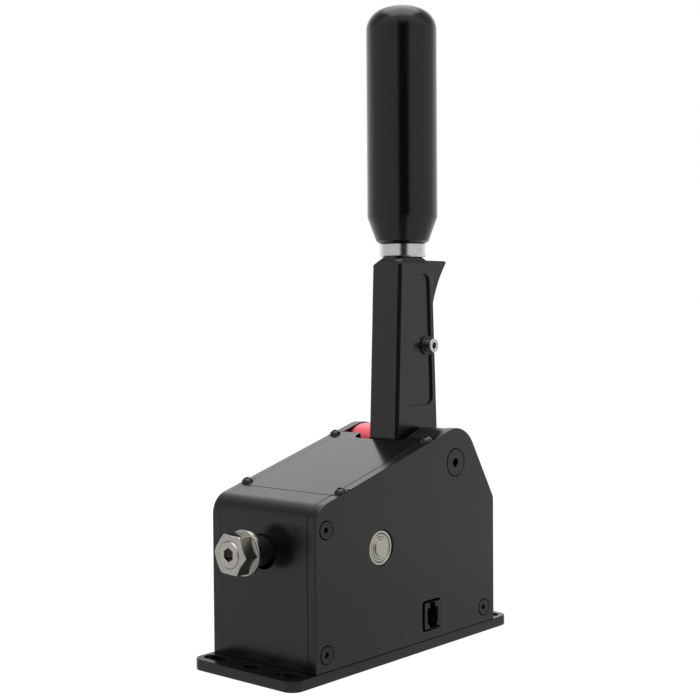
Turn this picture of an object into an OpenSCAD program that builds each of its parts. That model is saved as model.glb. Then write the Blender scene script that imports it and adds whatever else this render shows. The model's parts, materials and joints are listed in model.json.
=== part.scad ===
// Sim racing hand lever in a plated aluminium housing.
// Pulling the grip back swings the fork under the pivot forward. The fork pushes a rod through a
// trunnion that turns in two ball bearings, against a coil spring, and a flanged nut sets its preload.
// Millimetres. X runs from the nut to the back, +Y is the left side, +Z is up.
// The origin is the middle of the base plate's underside.

/* [Base plate] */
// Thickness of the base plate
base_t = 5; // [4:0.5:8]
// Base plate in front of the housing
front_flange = 14.5; // [13:0.5:20]
// Base plate behind the housing
rear_flange = 13.5; // [13:0.5:20]
// Corner radius of the base plate
base_corner_r = 6; // [2:0.5:8]
// Width of a mounting slot
slot_w = 6.5; // [4.5:0.1:7]
// End-to-end length of a mounting slot
slot_len = 13; // [9:0.5:14]
// Distance between the two slots of a flange
slot_spacing = 46; // [36:1:47]

/* [Housing] */
// Length of the housing
housing_len = 134; // [128:1:150]
// Width over the two side plates
housing_w = 64; // [62:1:80]
// Thickness of a side plate
plate_t = 5; // [4.5:0.5:6]
// Thickness of the front and rear blocks
block_t = 16; // [14:0.5:18]
// Slope of the roof in degrees
roof_angle = 15.6; // [13:0.2:18]
// Slope of the back edge in degrees
rear_angle = 58.8; // [55:0.2:62]
// Radius of the side plates round the lever pivot
nose_r = 16.8; // [16:0.1:18]
// Radius of the roof's front edge
front_round_r = 10; // [6:0.5:14]
// Radius of the back corner
rear_round_r = 4; // [2:0.5:8]

/* [Top cover] */
// Thickness of the cover
cover_t = 3; // [2:0.25:4]
// Distance of the cover's rear edge in front of the roof's end, along the slope
cover_stop = 12; // [10:0.5:14]
// Width of a screw ear along the slope
ear_w = 7; // [6.5:0.25:9]
// Width of the cut-out for the lever
cover_notch_w = 31; // [27:0.5:36]
// Reach of the cut-out in front of the cover's rear edge
cover_notch_len = 6.5; // [6:0.25:10]

/* [Lever pivot] */
// Distance of the pivot behind the housing's front
pivot_setback = 102.1; // [100:0.5:104]
// Height of the pivot
pivot_z = 87.7; // [85:0.5:92]
// Diameter of the pivot shaft
shaft_d = 12; // [11:0.5:13]
// Diameter of the spacers beside the lever
spacer_d = 32.6; // [30:0.2:33]
// Half width of the lever's boss
boss_half_w = 12; // [11.5:0.5:14]
// Radius of the lever's boss
boss_r = 14; // [13.5:0.5:15]

/* [Lever stem] */
// Width of the stem
stem_w = 18.5; // [17:0.5:21]
// Depth of the stem at its top
stem_top_d = 26.7; // [25:0.1:29]
// Depth of the stem at its foot
stem_foot_d = 34; // [31:0.2:35]
// Height of the stem's top above the pivot
stem_top_z = 100.8; // [99:0.2:110]
// Height of the stem's foot above the pivot
stem_foot_z = 10.5; // [10:0.5:12]
// Chamfer of the stem's long edges
stem_chamfer = 1.5; // [0.5:0.25:2]
// Lead of the stem's axis in front of the pivot
stem_lead = 0.6; // [0:0.1:1]
// Depth of the pockets in the stem's sides
pocket_t = 1.1; // [0.4:0.1:2]

/* [Grip] */
// Diameter of the grip
grip_d = 35; // [30:0.2:40]
// Length of the grip
grip_len = 117.9; // [90:0.1:140]
// Radius of the grip's top edge
grip_edge_r = 11; // [8:0.5:12]
// Height of the grip's domed top
grip_dome_h = 12.4; // [12.2:0.1:15]
// Diameter of the grip's lower end
grip_end_d = 26.4; // [25:0.2:30]
// Height of the grip's lower taper
grip_taper_h = 13; // [8:0.5:20]
// Diameter of the polished collar
collar_d = 23; // [20:0.5:25]
// Height of the polished collar
collar_h = 6.9; // [5:0.1:10]

/* [Lock trigger] */
// Thickness of the trigger blade
trigger_t = 10; // [8:0.5:10.5]
// Distance of the trigger's screw behind the lever's axis
trigger_x = 8.5; // [7.8:0.1:8.8]
// Height of the trigger's screw above the pivot
trigger_z = 56.5; // [54:0.5:60]
// Reach of the trigger's fin behind the lever's axis
fin_x = 30; // [27:0.2:34]
// Radius of the hollow behind the trigger
fin_r = 60; // [50:1:80]
// Swing of the trigger in degrees
trigger_swing = 7; // [5:0.5:8]

/* [Push rod] */
// Distance of the trunnion behind the housing's front
trunnion_setback = 44.9; // [42:0.5:48]
// Height of the trunnion
trunnion_z = 54; // [52:0.5:56]
// Diameter of the push rod
rod_d = 12; // [10:0.5:13]
// Drop of the clevis pin below the trunnion
pin_drop = 2.2; // [1.5:0.1:3]
// Diameter of the clevis pin
pin_d = 8; // [6:0.5:9]
// Swing of the lever in degrees
lever_swing = 16; // [12:0.5:16]
// Distance of the nut's flange in front of the housing
nut_standoff = 10.5; // [6:0.5:16]
// Height of the nut with its flange
nut_h = 10.2; // [8:0.2:14]
// Width of the nut across its flats
nut_af = 17; // [15:0.5:17.5]
// Diameter of the nut's flange
nut_flange_d = 20.4; // [20:0.2:24]

/* [Spring] */
// Wire diameter of the main spring
spring_wire_d = 3.2; // [2:0.1:3.6]
// Number of turns of the main spring
spring_turns = 5; // [4:1:6]
// Mean diameter of the main spring
spring_mean_d = 18.6; // [17:0.2:20]
// Length of the main spring at rest
spring_len = 31; // [28:0.5:33]

/* [Cable socket] */
// Width of the socket
socket_w = 12.2; // [11.6:0.2:15]
// Height of the socket
socket_h = 12.6; // [11:0.2:14]
// Distance of the socket's middle behind the housing's front
socket_setback = 82.2; // [78:0.5:90]
// Height of the socket's lower edge
socket_z = 10.2; // [10:0.2:13]

/* [Hidden] */
$fn = 64;

// Clearances: running fit of a shaft, seat of a fixed piece, play between moving pieces, and a hair
fit = 0.05;
seat = 0.1;
play = 0.3;
hair = 0.01;

// Housing
base_len = front_flange + housing_len + rear_flange;
front_x = -base_len / 2 + front_flange;
rear_x = front_x + housing_len;
half_w = housing_w / 2;
side_in = half_w - plate_t;
pivot = [front_x + pivot_setback, pivot_z];
front_screw_in = 7.3;
rear_screw_in = 8.7;
low_screw_z = base_t + 7.4;
top_screw_rise = 62.1;
top_screw_z = base_t + top_screw_rise;
base_screw_y = 10;
block_screw_len = 16;
swing_gap = 2;

// Screws: shank, head, hex key
m3 = [3, 6, 2];
m4 = [4, 8, 2.5];
m5 = [5, 10, 3];
m6 = [6, 13.4, 4];
button_h = 2.1;
head_sink = 0.2;
rim_gap = 0.4;
rim_depth = 0.8;
pivot_screw_len = 20;
cover_screw_len = 8;

// Roof, measured along the slope from the end of its straight part
cover_front_x = front_x + block_t;
cover_front = (cover_front_x - pivot[0] + nose_r * sin(roof_angle)) / cos(roof_angle);
ear_in = ear_w / 2 + 0.35;
ear_wall = 0.7;
cover_screw_y = half_w - plate_t / 2 - 0.45;
cover_rear_screw = -cover_stop - ear_in;
cover_front_screw = cover_front + ear_in;
cover_notch_r = 4;

// Lever: bearings, pocket, trigger slot
bearing_w = 6;
bearing_r = shaft_d / 2 + 6;
ring_t = 1.8;
boss_bore_r = bearing_r - 1;
top_chamfer_h = 4;
top_chamfer_in = 2.5;
top_corner = 3.8;
pocket_in = 4;
pocket_low_z = 26.8;
pocket_top_z = 92.4;
slot_t = trigger_t + 0.4;
slot_low_z = trigger_z - 10.5;
slot_step_z = trigger_z + 15.5;
stud_d = 10;
stud_z = stem_top_z - 20;
slot_low_x = -5;
slot_top_x = stud_d / 2 + 1.5;
arm_len = pivot_z - trunnion_z + pin_drop;
eye_r = pin_d / 2 + 5.5;
tine_t = 5;
rod_eye_t = 10;
tine_in = rod_eye_t / 2 + play;
tine_out = tine_in + tine_t;

// Trigger and lock rod, in the stem's frame, and the lock ring on the pivot
trigger_top_z = stem_top_z - 1.5;
trigger_rear_x = 16;
trigger_hollow_z = 60;
trigger_lobe_r = 5.5;
trigger_head_d = 7;
trigger_head_h = 4;
trigger_boss_r = 4.8;
lock_rod_r = 2;
lock_tip_r = 0.8;
lock_ring_r = boss_bore_r - 1;
lock_side_gap = 0.2;
lock_arm_z = trigger_z - 3.3;
lock_arm_t = 3;
lock_arm_play = 0.65;
trigger_spring_z = slot_step_z + 3.5;
trigger_spring_d = 4;
trigger_spring_wire = 0.6;
trigger_spring_turns = 3;
trigger_spring_x = 1;

// Push rod, in its own frame: it runs along X through the trunnion's axis and tilts a little
trunnion = [front_x + trunnion_setback, trunnion_z];
pin_run = pivot[0] - trunnion[0];
pin_reach = sqrt(pin_run * pin_run + pin_drop * pin_drop);
end_run = pin_run - arm_len * sin(lever_swing);
end_drop = arm_len * cos(lever_swing) - (pivot_z - trunnion_z);
rest_tilt = atan2(pin_drop, pin_run);
end_tilt = atan2(end_drop, end_run);
tilt_bias = 0.22;
rod_tilt = rest_tilt + tilt_bias;
rod_r = rod_d / 2;
sleeve_r = rod_r + 0.8;
block_half = 10;
block_half_w = side_in - 7;
journal_r = 4;
shoulder_r = 5.4;
ball_race_r = 8;
race_w = 4;
race_t = 1.2;
race_rim_depth = 1.5;
inner_race_r = journal_r + 1.1;
race_in = 0.3;
nut_x = trunnion_setback + nut_standoff;
seat_x = block_half + spring_len;
rod_eye_r = pin_d / 2 + 4.5;
eye_slot = 1;
rod_collar_t = 2;
rod_collar_end = pin_reach - eye_r - eye_slot;
seat_t = rod_collar_end - rod_collar_t - seat_x;
sleeve_top_z = trunnion_setback * tan(rod_tilt);
sleeve_low_z = (trunnion_setback - block_t) * tan(end_tilt);
sleeve_hole_z = (sleeve_top_z + sleeve_low_z) / 2;
sleeve_hole_r = sleeve_r + (sleeve_top_z - sleeve_low_z) / 2 + play + seat;
pin_right = tine_out + 2;
clip_t = 1;
clip_gap = 0.3;

// Electronics
board_t = 1.6;
board_z = socket_z - board_t;
board_x = [-26, 22];
board_y = [-side_in + 1, 12];
board_hole_in = 4;
standoff_r = 3;
socket_depth = 15.5;
socket_gap = 0.85;
socket_proud = 0.6;
socket_window_r = 1.2;
socket_x = front_x + socket_setback;
jack_wall = 2;
jack_latch_w = 4.1;
jack_latch_h = 2.3;
jack_roof = 0.3;
jack_floor = 0.4;
jack_chamfer_h = 3.3;
jack_chamfer_w = 2.1;
jack_depth = 11;
sensor_w = 34;
sensor_h = 16;
sensor_screw_r = 1;
sensor_screw_in = 3.5;
magnet_r = 3;
magnet_t = 3;
magnet_gap = 1.2;
hall_t = 1.2;
pin_left = side_in - board_t - hall_t - magnet_gap - magnet_t;

black = "#29292b";
satin = "#39393b";
steel = "#b9bbbd";
red = "#c3202b";

// Helpers

// Point where two lines meet; a line is its normal and its distance from the pivot
function meet(n1, d1, n2, d2) =
    let (det = n1[0] * n2[1] - n1[1] * n2[0])
    pivot + [(d1 * n2[1] - d2 * n1[1]) / det, (n1[0] * d2 - n2[0] * d1) / det];

function unit(v) = v / norm(v);

// Convex outline with a radius at each corner: a polygon between the tangent points, plus circles
// that stay a hair inside its edges, so that no sliver is left where they meet
module rounded(points, radii) {
    n = len(points);
    before = [for (i = [0:n - 1]) unit(points[(i + n - 1) % n] - points[i])];
    after = [for (i = [0:n - 1]) unit(points[(i + 1) % n] - points[i])];
    half = [for (i = [0:n - 1]) acos(before[i] * after[i]) / 2];
    polygon([
        for (i = [0:n - 1], way = radii[i] > 0 ? [before[i], after[i]] : [before[i]])
            points[i] + way * radii[i] / tan(half[i])
    ]);
    for (i = [0:n - 1])
        if (radii[i] > 0)
            translate(points[i] + unit(before[i] + after[i]) * radii[i] / sin(half[i]))
                circle(radii[i] - hair);
}

// Two circles joined by their outer tangents, the second one below the first
module link(r1, r2, drop) {
    lean = asin((r1 - r2) / drop);
    right = [cos(lean), -sin(lean)];
    left = [-cos(lean), -sin(lean)];
    circle(r1 - hair);
    translate([0, -drop]) circle(r2 - hair);
    polygon([r1 * right, r1 * left, r2 * left - [0, drop], r2 * right - [0, drop]]);
}

// A shape drawn in X and Z, from y0 to y1
module along_y(y0, y1) {
    translate([0, y1, 0]) rotate([90, 0, 0]) linear_extrude(y1 - y0) children();
}

// A cylinder along Y or X, from one place to another
module y_rod(r, y0, y1) {
    translate([0, y1, 0]) rotate([90, 0, 0]) cylinder(r = r, h = y1 - y0);
}

module x_rod(r, x0, x1) {
    translate([x0, 0, 0]) rotate([0, 90, 0]) cylinder(r = r, h = x1 - x0);
}

// A solid through rings of points, closed at both ends
module loft(rings) {
    n = len(rings[0]);
    m = len(rings);
    points = [for (ring = rings) each ring];
    sides = [
        for (k = [0:m - 2], i = [0:n - 1], half = [0, 1])
            let (a = k * n + i, b = k * n + (i + 1) % n)
            half == 0 ? [a, a + n, b] : [b, a + n, b + n]
    ];
    first_lid = [for (i = [1:n - 2]) [0, i, i + 1]];
    last_lid = [for (i = [1:n - 2]) [0, i + 1, i] + (m - 1) * n * [1, 1, 1]];
    polyhedron(points, concat(sides, first_lid, last_lid));
}

// Frames: the lever's pivot, the stem's axis, the push rod, the roof, and a side plate's outer face
module at_pivot() {
    translate([pivot[0], 0, pivot[1]]) children();
}

module at_stem() {
    translate([pivot[0] - stem_lead, 0, pivot[1]]) children();
}

module at_rod() {
    translate([trunnion[0], 0, trunnion[1]]) rotate([0, rod_tilt, 0]) children();
}

module on_roof(x, y) {
    at_pivot() rotate([0, -roof_angle, 0]) translate([x, y, nose_r]) children();
}

module on_left_face(x, z) {
    translate([x, half_w, z]) rotate([-90, 0, 0]) children();
}

module both_sides() {
    for (side = [0, 1]) mirror([0, side, 0]) children();
}

// Countersunk screw that points down, its head sunk a little below the origin
module csk_shape(screw, length, grow) {
    cone_h = (screw[1] - screw[0]) / 2;
    translate([0, 0, -head_sink]) {
        translate([0, 0, -length - grow]) cylinder(d = screw[0] + 2 * grow, h = length + 2 * grow);
        translate([0, 0, -cone_h])
            cylinder(d1 = screw[0] + 2 * grow, d2 = screw[1] + 2 * grow, h = cone_h);
    }
}

// Hole for it in a plate, with a straight rim that leaves a narrow ring round the head
module csk_hole(screw, length) {
    csk_shape(screw, length, seat);
    translate([0, 0, -rim_depth]) cylinder(d = screw[1] + 2 * rim_gap, h = rim_depth + 1);
}

module csk_screw(screw, length) {
    key_depth = screw[0] * 0.55;
    difference() {
        csk_shape(screw, length, 0);
        translate([0, 0, -head_sink - key_depth])
            cylinder(d = screw[2] / cos(30), h = key_depth + 1, $fn = 6);
    }
}

// Button-head screw standing on the origin
module button_screw(screw, length) {
    dome_r = (screw[1] * screw[1] / 4 + button_h * button_h) / (2 * button_h);
    difference() {
        union() {
            intersection() {
                cylinder(d = screw[1], h = button_h);
                translate([0, 0, button_h - dome_r]) sphere(dome_r);
            }
            translate([0, 0, -length]) cylinder(d = screw[0], h = length + button_h / 2);
        }
        translate([0, 0, button_h / 3]) cylinder(d = screw[2] / cos(30), h = button_h, $fn = 6);
    }
}

// Coil spring along X from x0 to x1, one unbroken wire with straight ends
coil_steps = 8;
coil_sides = 6;

function coil_path(x0, x1, mean_r, wire, turns) =
    let (last = turns * coil_steps, run = x1 - x0 - 3 * wire)
    concat(
        [[x0, 0, mean_r]],
        [
            for (k = [0:last])
                let (a = 360 * k / coil_steps)
                [x0 + 1.5 * wire + run * k / last, mean_r * sin(a), mean_r * cos(a)]
        ],
        [[x1, 0, mean_r]]
    );

function coil_rings(path, wire) =
    let (n = len(path))
    [
        for (k = [0:n - 1])
            let (
                way = k == 0 || k == n - 1 ? [1, 0, 0] : unit(path[k + 1] - path[k - 1]),
                out = unit([0, path[k][1], path[k][2]]),
                side = unit(cross(way, out)),
                up = cross(side, way)
            )
            [
                for (i = [0:coil_sides - 1])
                    let (a = 360 * i / coil_sides)
                    path[k] + wire / 2 * (cos(a) * up + sin(a) * side)
            ]
    ];

// Least gap between neighbouring turns, measured on the path's points
function coil_gap(path, wire) =
    let (last = len(path) - 1, apart = coil_steps - 2)
    min([for (i = [0:last - apart], j = [i + apart:last]) norm(path[i] - path[j])]) - wire;

module coil(x0, x1, mean_r, wire, turns) {
    path = coil_path(x0, x1, mean_r, wire, turns);
    echo(least_gap = coil_gap(path, wire));
    loft(coil_rings(path, wire));
}

// Housing

// Outline of the housing from the side, drawn in by an inset on its front, back, slope and roof
module housing_outline(inset = 0) {
    roof = [-sin(roof_angle), cos(roof_angle)];
    back = [sin(rear_angle), cos(rear_angle)];
    reach = nose_r - inset;
    rounded(
        [
            [front_x + inset, base_t], [rear_x - inset, base_t],
            meet([1, 0], rear_x - inset - pivot[0], back, reach),
            meet(back, reach, roof, reach),
            meet([-1, 0], pivot[0] - front_x - inset, roof, reach)
        ],
        [0, 0, rear_round_r, reach, front_round_r - inset]
    );
}

module slot_cut(x, y) {
    translate([x, y, -1]) {
        for (end = [-1, 1])
            translate([0, end * (slot_len - slot_w) / 2, 0]) cylinder(d = slot_w, h = base_t + 2);
        translate([-slot_w / 2, -(slot_len - slot_w) / 2, 0]) cube([slot_w, slot_len - slot_w, base_t + 2]);
    }
}

// Places of the screws that hold the base to the blocks
module at_base_screws() {
    for (x = [front_x + block_t / 2, rear_x - block_t / 2], y = [-base_screw_y, base_screw_y])
        translate([x, y, 0]) rotate([180, 0, 0]) children();
}

module base_plate() {
    x = base_len / 2;
    color(black) difference() {
        linear_extrude(base_t)
            rounded([[-x, -half_w], [x, -half_w], [x, half_w], [-x, half_w]], base_corner_r * [1, 1, 1, 1]);
        for (slot_x = [front_flange / 2 - x, x - rear_flange / 2]) {
            for (y = [-slot_spacing / 2, slot_spacing / 2]) slot_cut(slot_x, y);
            translate([slot_x, 0, -1]) cylinder(d = slot_w, h = base_t + 2);
        }
        at_base_screws() csk_hole(m5, block_screw_len);
        at_board_holes() translate([0, 0, base_t - 3]) cylinder(d = m3[0] + 2 * fit, h = 4);
    }
}

// Places of the screws on the outer face of the left plate
module at_side_screws() {
    for (place = [
        [front_x + front_screw_in, low_screw_z], [front_x + front_screw_in, top_screw_z],
        [rear_x - rear_screw_in, low_screw_z]
    ])
        on_left_face(place[0], place[1]) children();
}

// Places of the cover screws on the left plate's sloping edge
module at_cover_screws() {
    for (x = [cover_front_screw, cover_rear_screw]) on_roof(x, cover_screw_y) children();
}

// Ears of the cover round those screws, or the pockets for them, which stop short of the plate's outer face
module cover_ears(gap, rise) {
    for (x = [cover_front_screw, cover_rear_screw])
        on_roof(x, side_in - 1) translate([-ear_w / 2 - gap, 0, -cover_t])
            cube([ear_w + 2 * gap, plate_t + 1 - ear_wall - seat + gap, cover_t + rise]);
}

module left_plate_shape() {
    difference() {
        along_y(side_in, half_w) housing_outline();
        at_side_screws() csk_hole(m4, block_screw_len);
        on_left_face(pivot[0], pivot[1]) csk_hole(m6, pivot_screw_len);
        translate([trunnion[0], 0, trunnion[1]]) {
            y_rod(ball_race_r + fit / 2, side_in - 1, half_w + 1);
            y_rod(ball_race_r + rim_gap, side_in + race_in + race_w - race_rim_depth, half_w + 1);
        }
        cover_ears(seat, 1);
        at_cover_screws()
            translate([0, 0, -cover_screw_len - 1]) cylinder(d = m3[0] + 2 * fit, h = cover_screw_len);
    }
}

module left_side_plate() {
    color(satin) difference() {
        left_plate_shape();
        at_sensor_screws() y_rod(sensor_screw_r + fit, 0, side_in + sensor_screw_in + fit);
    }
}

module socket_window() {
    x = socket_w / 2 + socket_gap;
    z = socket_h / 2 + socket_gap;
    rounded([[-x, -z], [x, -z], [x, z], [-x, z]], socket_window_r * [1, 1, 1, 1]);
}

module right_side_plate() {
    color(satin) difference() {
        mirror([0, 1, 0]) left_plate_shape();
        translate([socket_x, 0, socket_z + socket_h / 2]) along_y(-half_w - 1, 1 - side_in) socket_window();
    }
}

module block_shape(x0) {
    difference() {
        intersection() {
            along_y(-side_in, side_in) housing_outline();
            translate([x0, -side_in, 0]) cube([block_t, 2 * side_in, 2 * pivot_z]);
        }
        both_sides() at_side_screws() csk_shape(m4, block_screw_len, fit);
        at_base_screws() csk_shape(m5, block_screw_len, fit);
    }
}

module front_block() {
    color(satin) difference() {
        block_shape(front_x);
        translate([0, 0, trunnion_z + sleeve_hole_z])
            x_rod(sleeve_hole_r, front_x - 1, front_x + block_t + 1);
    }
}

// The rear block is hollowed round the lever's pivot
module rear_block() {
    color(satin) difference() {
        block_shape(rear_x - block_t);
        at_pivot() y_rod(spacer_d / 2 + swing_gap, -half_w, half_w);
    }
}

// Cut-out for the lever in the cover's rear edge
module cover_notch() {
    y = cover_notch_w / 2;
    beyond = 2 * cover_notch_r;
    rounded(
        [[-cover_notch_len, -y], [beyond, -y], [beyond, y], [-cover_notch_len, y]],
        [cover_notch_r, 0, 0, cover_notch_r]
    );
}

module top_cover() {
    joint_gap = 0.2;
    color(satin) difference() {
        union() {
            intersection() {
                along_y(-side_in, side_in) difference() {
                    housing_outline();
                    housing_outline(cover_t);
                }
                translate([cover_front_x + joint_gap, -side_in, 0])
                    cube([housing_len, 2 * side_in, 2 * pivot_z]);
                on_roof(-cover_stop - housing_len, -side_in) translate([0, 0, -housing_len])
                    cube([housing_len, 2 * side_in, 2 * housing_len]);
            }
            both_sides() cover_ears(0, 0);
        }
        on_roof(-cover_stop, 0) translate([0, 0, -cover_t - 1]) linear_extrude(cover_t + 2) cover_notch();
        both_sides() at_cover_screws()
            translate([0, 0, -cover_t - 1]) cylinder(d = m3[0] + 2 * seat, h = cover_t + 2);
    }
}

module cover_screws() {
    color(black) both_sides() at_cover_screws() button_screw(m3, cover_screw_len);
}

module side_screws() {
    color(black) both_sides() at_side_screws() csk_screw(m4, block_screw_len);
}

module base_screws() {
    color(black) at_base_screws() csk_screw(m5, block_screw_len);
}

module pivot_screws() {
    color(black) both_sides() on_left_face(pivot[0], pivot[1]) csk_screw(m6, pivot_screw_len);
}

// Lever pivot

module pivot_shaft() {
    color(steel) difference() {
        at_pivot() y_rod(shaft_d / 2, -side_in, side_in);
        both_sides() on_left_face(pivot[0], pivot[1]) csk_shape(m6, pivot_screw_len, fit);
    }
}

// Spacer between a side plate and the lever's bearing, with a small step on the inner ring
module spacer_shape() {
    step = 0.6;
    step_r = shaft_d / 2 + ring_t;
    at_pivot() difference() {
        union() {
            y_rod(step_r, boss_half_w, side_in);
            y_rod(spacer_d / 2, boss_half_w + step, side_in);
        }
        y_rod(shaft_d / 2 + fit, boss_half_w - 1, side_in + 1);
    }
}

module left_pivot_spacer() {
    color(red) spacer_shape();
}

module right_pivot_spacer() {
    color(black) mirror([0, 1, 0]) spacer_shape();
}

// Ring fixed on the pivot shaft: a notch for the lever at rest and one for the lever pulled, with a
// tooth between them; a swing too short for a tooth leaves one wide notch
module lock_ring() {
    ring_half_w = boss_half_w - bearing_w - 1.5;
    notch_w = 2 * lock_tip_r + 2 * lock_side_gap;
    notch_floor = lock_ring_r - 1.5;
    least_tooth = 0.3;
    tooth_w = 2 * notch_floor * sin(lever_swing / 2) - notch_w;
    steps = tooth_w > least_tooth ? 1 : 8;
    color(steel) at_pivot() difference() {
        y_rod(lock_ring_r, -ring_half_w, ring_half_w);
        y_rod(shaft_d / 2 + fit, -ring_half_w - 1, ring_half_w + 1);
        for (step = [0:steps])
            rotate([0, step * lever_swing / steps, 0])
                translate([-stem_lead - notch_w / 2, -ring_half_w - 1, notch_floor])
                    cube([notch_w, 2 * ring_half_w + 2, 3]);
    }
}

module lever_bearing_inner_rings() {
    color(steel) at_pivot() both_sides() difference() {
        y_rod(shaft_d / 2 + ring_t, boss_half_w - bearing_w, boss_half_w);
        y_rod(shaft_d / 2 + fit, boss_half_w - bearing_w - 1, boss_half_w + 1);
    }
}

// Outer ring with the shield that closes the bearing towards the spacer
module lever_bearing_outer_rings() {
    shield_t = 0.6;
    color(steel) at_pivot() both_sides() difference() {
        y_rod(bearing_r, boss_half_w - bearing_w, boss_half_w);
        y_rod(bearing_r - ring_t, boss_half_w - bearing_w - 1, boss_half_w - shield_t);
        y_rod(shaft_d / 2 + ring_t + play / 2, boss_half_w - bearing_w, boss_half_w + 1);
    }
}

// Lever

function stem_half_d(z) =
    (stem_foot_d + (stem_top_d - stem_foot_d) * (z - stem_foot_z) / (stem_top_z - stem_foot_z)) / 2;

// Ring of the stem: a rectangle with cut corners
function stem_ring(z, inset, c) =
    let (x = stem_half_d(z) - inset, y = stem_w / 2 - inset)
    [
        [x, c - y, z], [x, y - c, z], [x - c, y, z], [c - x, y, z],
        [-x, y - c, z], [-x, c - y, z], [c - x, -y, z], [x - c, -y, z]
    ];

// Pocket in the stem's left side, round a boss for the trigger's screw
module stem_pocket() {
    low = stem_half_d(pocket_low_z) - pocket_in;
    top = stem_half_d(pocket_top_z) - pocket_in;
    along_y(stem_w / 2 - pocket_t, stem_w / 2 + 1) difference() {
        rounded(
            [[-low, pocket_low_z], [low, pocket_low_z], [top, pocket_top_z], [-top, pocket_top_z]],
            [pocket_in, pocket_in, pocket_in, pocket_in]
        );
        translate([trigger_x, trigger_z]) circle(trigger_boss_r);
    }
}

module stem_body() {
    loft([
        stem_ring(stem_foot_z, 0, stem_chamfer), stem_ring(stem_top_z - top_chamfer_h, 0, stem_chamfer),
        stem_ring(stem_top_z, top_chamfer_in, top_corner)
    ]);
}

// Pockets, trigger slot and bores of the stem
module stem_cuts() {
    both_sides() stem_pocket();
    // Slot for the trigger: deep round its screw, shallow behind the stud
    translate([slot_low_x, -slot_t / 2, slot_low_z])
        cube([stem_foot_d, slot_t, slot_step_z - slot_low_z]);
    translate([slot_top_x, -slot_t / 2, slot_low_z]) cube([stem_foot_d, slot_t, stem_top_z]);
    translate([trigger_x, 0, trigger_z]) y_rod(m4[0] / 2 + fit, -stem_w, stem_w);
    // Bores for the handle's stud, the lock rod and the trigger's spring
    translate([0, 0, stud_z]) cylinder(d = stud_d + 2 * fit, h = stem_top_z);
    cylinder(r = lock_rod_r + fit, h = trigger_z);
    translate([0, 0, trigger_spring_z])
        x_rod(trigger_spring_d / 2 + play, trigger_spring_x, slot_top_x + 1);
}

// Stem, boss and fork in one piece; the boss holds the bearings and the lock ring
module lever_stem() {
    color(black) difference() {
        union() {
            at_stem() stem_body();
            at_pivot() {
                y_rod(boss_r, -boss_half_w, boss_half_w);
                along_y(-tine_out, tine_out) link(boss_r - 0.5, eye_r, arm_len);
            }
        }
        at_stem() stem_cuts();
        at_pivot() {
            both_sides() y_rod(bearing_r + fit / 2, boss_half_w - bearing_w, boss_half_w + 1);
            y_rod(boss_bore_r, -boss_half_w, boss_half_w);
            // Gap of the fork, and the bore for its pin
            translate([-2 * eye_r, -tine_in, -arm_len - 2 * eye_r])
                cube([4 * eye_r, 2 * tine_in, arm_len + 2 * eye_r - boss_r - 1]);
            translate([0, 0, -arm_len]) y_rod(pin_d / 2 + fit / 2, -tine_out - 1, tine_out + 1);
        }
    }
}

module clevis_pin() {
    color(steel) at_pivot() translate([0, 0, -arm_len]) y_rod(pin_d / 2, -pin_right, pin_left);
}

// Open spring rings that keep the pin in the fork
module clevis_pin_clips() {
    ring_r = pin_d / 2 + 2;
    color(steel) at_pivot() both_sides() translate([0, 0, -arm_len]) difference() {
        y_rod(ring_r, tine_out + clip_gap, tine_out + clip_gap + clip_t);
        y_rod(pin_d / 2 + fit, tine_out, tine_out + 2 * clip_t);
        translate([-pin_d / 4, 0, 0]) cube([pin_d / 2, tine_out + 2 * clip_t, ring_r]);
    }
}

module handle_collar() {
    edge = 0.6;
    color("#d5d6d8") at_stem() translate([0, 0, stem_top_z]) difference() {
        rotate_extrude() polygon([
            [0, 0], [collar_d / 2 - edge, 0], [collar_d / 2, edge], [collar_d / 2, collar_h - edge],
            [collar_d / 2 - edge, collar_h], [0, collar_h]
        ]);
        translate([0, 0, -1]) cylinder(d = stud_d + 2 * fit, h = collar_h + 2);
    }
}

module handle_stud() {
    stud_in_grip = 30;
    color(steel) at_stem() translate([0, 0, stud_z])
        cylinder(d = stud_d, h = stem_top_z - stud_z + collar_h + stud_in_grip);
}

// Half outline of the grip: taper, cylinder, rounded edge and crowned top
module grip_profile() {
    r = grip_d / 2;
    end_edge = 1.2;
    shoulder_z = grip_len - grip_dome_h;
    edge_x = r - grip_edge_r;
    crown_rise = grip_dome_h - grip_edge_r;
    crown_r = (edge_x * edge_x + grip_dome_h * grip_dome_h - grip_edge_r * grip_edge_r) / (2 * crown_rise);
    crown_z = grip_len - crown_r;
    crown_lean = asin(edge_x / (crown_r - grip_edge_r));
    polygon([
        [0, 0], [grip_end_d / 2 - end_edge, 0], [grip_end_d / 2, end_edge], [r, grip_taper_h],
        [r, shoulder_z], [edge_x, shoulder_z],
        [edge_x, shoulder_z] + grip_edge_r * [sin(crown_lean), cos(crown_lean)],
        [0, crown_z + crown_r * cos(crown_lean)]
    ]);
    intersection() {
        translate([edge_x, shoulder_z]) circle(grip_edge_r);
        translate([edge_x, shoulder_z]) square(2 * grip_edge_r);
    }
    intersection() {
        translate([0, crown_z]) circle(crown_r);
        translate([0, crown_z + crown_r * cos(crown_lean)]) square([crown_r * sin(crown_lean), crown_r]);
    }
}

module handle_grip() {
    bore_depth = 32;
    color("#1d1d1f") at_stem() translate([0, 0, stem_top_z + collar_h]) difference() {
        rotate_extrude() grip_profile();
        translate([0, 0, -1]) cylinder(d = stud_d + 2 * fit, h = bore_depth + 1);
    }
}

// Lock trigger

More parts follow.
